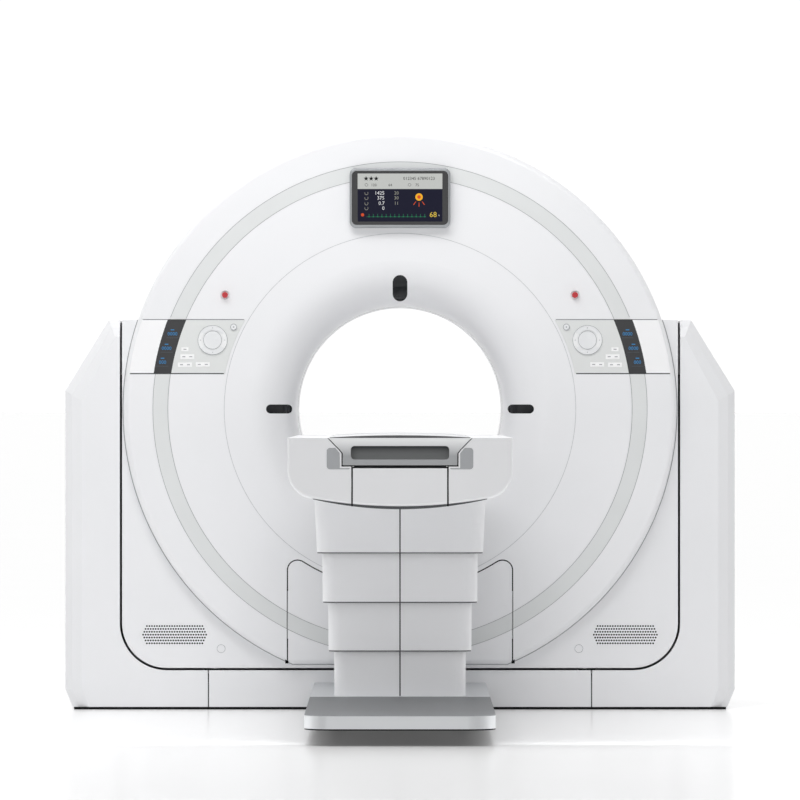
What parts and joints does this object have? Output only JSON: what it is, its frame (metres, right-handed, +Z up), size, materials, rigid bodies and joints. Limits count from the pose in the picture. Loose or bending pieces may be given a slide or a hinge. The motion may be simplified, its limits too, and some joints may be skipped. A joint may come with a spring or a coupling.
{
  "type": "ct scanner",
  "caption": "Whole-body scanner: a tilting round gantry between two pedestals, and a patient table on a telescopic column that slides its cradle into the bore.",
  "frame": {"origin": "on the floor, straight under the centre of the bore", "axes": "+X to the right seen from the table, +Y from the table into the bore, +Z up"},
  "size_m": [2.26, 3.55, 1.945],
  "materials": {
    "white_cover": "satin moulded",
    "silver_cover": "satin metallic paint",
    "grey_inlay": "satin",
    "painted_steel": "powder coat",
    "dark_steel": "blackened",
    "bearing_steel": "ground",
    "brushed_steel": "brushed top, polished rim",
    "cast_aluminium": "as cast",
    "grey_rubber": "matt",
    "black_rubber": "matt",
    "carbon_laminate": "clear coated",
    "dark_vinyl": "vinyl skin",
    "clear_film": "gloss",
    "dark_glass": "gloss",
    "panel_film": "satin",
    "slip_ring_resin": "machined",
    "button_white": "satin",
    "button_red": "gloss"
  },
  "bodies": {
    "base": {"base_frame": "painted_steel", "pedestal_frames": "painted_steel", "trunnion_bearings": "bearing_steel", "tilt_gearboxes": "cast_aluminium", "pedestal_front_covers": "white_cover", "pedestal_side_covers": "white_cover", "pedestal_rear_covers": "white_cover", "base_skirts": "white_cover", "table_base_plate": "brushed_steel", "base_plate_feet": "bearing_steel", "column_cover_lower": "white_cover", "lift_tube_lower": "dark_steel"},
    "table_stage_one": {"column_cover_second": "white_cover", "lift_tube_second": "dark_steel"},
    "table_stage_two": {"column_cover_third": "white_cover", "lift_tube_third": "dark_steel"},
    "table": {"column_cover_upper": "white_cover", "lift_tube_upper": "dark_steel", "table_frame": "cast_aluminium", "table_shells": "white_cover", "table_end_panel": "white_cover", "table_end_pads": "grey_rubber"},
    "cradle": {"cradle_carriage": "cast_aluminium", "cradle_end_cap": "silver_cover", "cradle_top": "carbon_laminate", "cradle_mat": "dark_vinyl"},
    "rotor": {"rotor_plate": "cast_aluminium", "bearing_inner_ring": "bearing_steel", "slip_ring": "slip_ring_resin", "xray_tube": "painted_steel", "collimator": "dark_steel", "detector_array": "cast_aluminium", "generator_tank": "painted_steel", "heat_exchanger": "cast_aluminium"},
    "pulley": {"drive_pulley": "cast_aluminium"},
    "left_ring_pad": {"left_ring_pad": "button_white"},
    "left_select_button": {"left_select_button": "button_white"},
    "left_stop_button": {"left_stop_button": "button_red"},
    "right_ring_pad": {"right_ring_pad": "button_white"},
    "right_select_button": {"right_select_button": "button_white"},
    "right_stop_button": {"right_stop_button": "button_red"},
    "gantry": {"tilt_frame": "painted_steel", "bearing_outer_ring": "bearing_steel", "front_panel": "white_cover", "front_drum_cover": "white_cover", "rear_covers": "white_cover", "drum_stripes": "grey_inlay", "access_panel": "white_cover", "front_funnel": "white_cover", "rear_funnel": "white_cover", "bore_tunnel": "white_cover", "scan_window": "clear_film", "top_cover": "white_cover", "trough_cover": "white_cover", "vent_grilles": "white_cover", "laser_windows": "dark_glass", "display_housing": "silver_cover", "control_panels": "panel_film", "drive_motor": "cast_aluminium", "drive_belt": "black_rubber"}
  },
  "joints": [
    {"name": "gantry_tilt", "type": "hinge", "parent": "base", "child": "gantry", "pos_m": [0, 0, 1.013], "axis": [-1, 0, 0], "range_deg": [-24, 24]},
    {"name": "rotor_spin", "type": "hinge", "parent": "gantry", "child": "rotor", "pos_m": [0, 0, 1.013], "axis": [0, 1, 0], "continuous": true},
    {"name": "drive_pulley_spin", "type": "hinge", "parent": "gantry", "child": "pulley", "pos_m": [0.69166, 0, 0.45291], "axis": [0, 1, 0], "continuous": true},
    {"name": "table_lift", "type": "slide", "parent": "base", "child": "table", "axis": [0, 0, 1], "range_m": [-0.43, 0.03]},
    {"name": "stage_one_lift", "type": "slide", "parent": "base", "child": "table_stage_one", "axis": [0, 0, 1], "range_m": [-0.1434, 0.0101]},
    {"name": "stage_two_lift", "type": "slide", "parent": "base", "child": "table_stage_two", "axis": [0, 0, 1], "range_m": [-0.2868, 0.0201]},
    {"name": "cradle_slide", "type": "slide", "parent": "table", "child": "cradle", "axis": [0, 1, 0], "range_m": [0, 1.5]},
    {"name": "left_ring_pad_press", "type": "slide", "parent": "gantry", "child": "left_ring_pad", "axis": [0, 1, 0], "range_m": [0, 0.0015], "stiffness_N_per_m": 2500},
    {"name": "left_select_button_press", "type": "slide", "parent": "gantry", "child": "left_select_button", "axis": [0, 1, 0], "range_m": [0, 0.0015], "stiffness_N_per_m": 900},
    {"name": "left_stop_button_press", "type": "slide", "parent": "gantry", "child": "left_stop_button", "axis": [0, 1, 0], "range_m": [0, 0.004], "stiffness_N_per_m": 2000},
    {"name": "right_ring_pad_press", "type": "slide", "parent": "gantry", "child": "right_ring_pad", "axis": [0, 1, 0], "range_m": [0, 0.0015], "stiffness_N_per_m": 2500},
    {"name": "right_select_button_press", "type": "slide", "parent": "gantry", "child": "right_select_button", "axis": [0, 1, 0], "range_m": [0, 0.0015], "stiffness_N_per_m": 900},
    {"name": "right_stop_button_press", "type": "slide", "parent": "gantry", "child": "right_stop_button", "axis": [0, 1, 0], "range_m": [0, 0.004], "stiffness_N_per_m": 2000}
  ],
  "couplings": [
    {"joint": "drive_pulley_spin", "follows": "rotor_spin", "ratio": 12.667},
    {"joint": "stage_one_lift", "follows": "table_lift", "ratio": 0.33333},
    {"joint": "stage_two_lift", "follows": "table_lift", "ratio": 0.66667}
  ]
}
